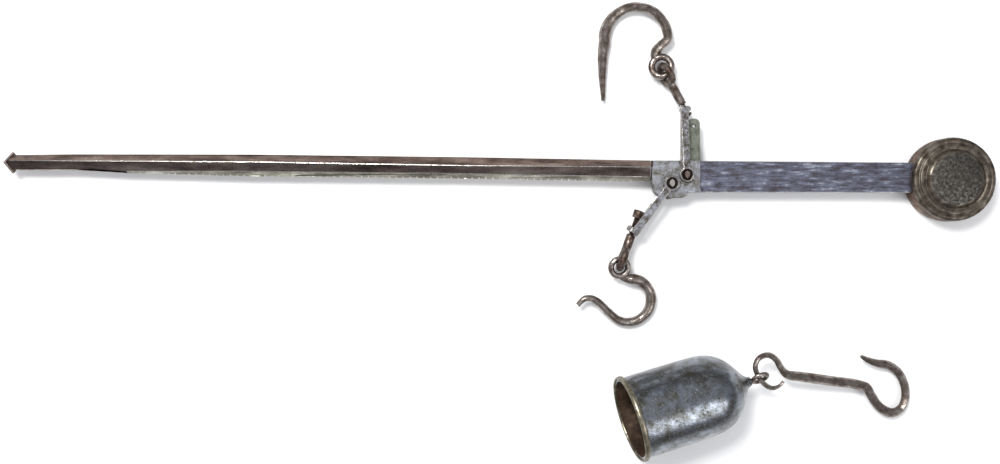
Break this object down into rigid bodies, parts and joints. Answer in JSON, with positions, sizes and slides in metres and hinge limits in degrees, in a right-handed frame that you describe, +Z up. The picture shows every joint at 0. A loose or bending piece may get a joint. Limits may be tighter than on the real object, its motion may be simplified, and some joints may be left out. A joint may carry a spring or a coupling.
{
  "type": "steelyard balance",
  "caption": "Hand-forged steelyard balance lying flat: notched arm, round counterweight, two pivots with shackles, swivels and hooks, and a bell-shaped sliding poise on its own hook",
  "frame": {"origin": "on the table under the middle of the whole balance", "axes": "+X towards the round counterweight, the arm points to -X, +Y towards the pointed load hook, +Z up off the table"},
  "size_m": [0.7144, 0.3296, 0.0675],
  "materials": {
    "forged_iron": "hand-forged, dark brown patina",
    "bright_steel": "worn bright with pits",
    "rusty_iron": "rusty brown",
    "weight_iron": "turned, olive-brown patina",
    "tinned_sheet": "polished tinned sheet with dark pits",
    "lead": "dull cast"
  },
  "bodies": {
    "beam": {"beam_bar": "forged_iron", "end_stop": "forged_iron", "front_cheek_plate": "bright_steel", "rear_cheek_plate": "bright_steel", "tongue": "bright_steel", "suspension_knife_pin": "bright_steel", "load_knife_pin": "rusty_iron", "counterweight_disc": "weight_iron", "counterweight_rivet": "forged_iron"},
    "load_shackle_body": {"load_shackle": "bright_steel"},
    "load_swivel_body": {"load_swivel_stud": "rusty_iron", "load_swivel_washer": "rusty_iron"},
    "load_hook_body": {"load_hook": "forged_iron"},
    "suspension_shackle_body": {"suspension_shackle": "bright_steel"},
    "suspension_swivel_body": {"suspension_swivel_stud": "rusty_iron", "suspension_swivel_washer": "rusty_iron"},
    "suspension_hook_body": {"suspension_hook": "forged_iron"},
    "poise_hook_body": {"poise_hook": "forged_iron"},
    "poise_bell_body": {"poise_bell_shell": "tinned_sheet", "poise_rim_ring": "tinned_sheet", "poise_lead_fill": "lead", "poise_loop": "forged_iron"}
  },
  "joints": [
    {"name": "load_shackle_swing", "type": "hinge", "parent": "beam", "child": "load_shackle_body", "pos_m": [0.13487, 0.03815, 0.013], "axis": [0, 0, 1], "range_deg": [-64, 30]},
    {"name": "load_swivel_turn", "type": "hinge", "parent": "load_shackle_body", "child": "load_swivel_body", "pos_m": [0.13467, 0.08595, 0.013], "axis": [-0.4661, 0.8789, -0.1011], "continuous": true},
    {"name": "load_hook_swing", "type": "hinge", "parent": "load_swivel_body", "child": "load_hook_body", "pos_m": [0.11807, 0.11725, 0.0094], "axis": [0.1201, 0, -0.9928], "range_deg": [-40, 90]},
    {"name": "suspension_shackle_swing", "type": "hinge", "parent": "beam", "child": "suspension_shackle_body", "pos_m": [0.12407, 0.03205, 0.013], "axis": [0, 0, 1], "range_deg": [-35, 84]},
    {"name": "suspension_swivel_turn", "type": "hinge", "parent": "suspension_shackle_body", "child": "suspension_swivel_body", "pos_m": [0.09674, -0.00197, 0.013], "axis": [-0.3279, -0.9419, -0.0733], "continuous": true},
    {"name": "suspension_hook_swing", "type": "hinge", "parent": "suspension_swivel_body", "child": "suspension_hook_body", "pos_m": [0.08735, -0.02897, 0.0109], "axis": [-0.0935, 0.1525, -0.9839], "range_deg": [-40, 90]},
    {"name": "poise_slide", "type": "slide", "parent": "beam", "child": "poise_hook_body", "axis": [1, 0, 0], "range_m": [-0.53, 0]},
    {"name": "poise_bell_swing", "type": "hinge", "parent": "poise_hook_body", "child": "poise_bell_body", "pos_m": [0.1869, -0.1079, 0.022], "axis": [0, 0, 1], "range_deg": [-12, 34]}
  ]
}
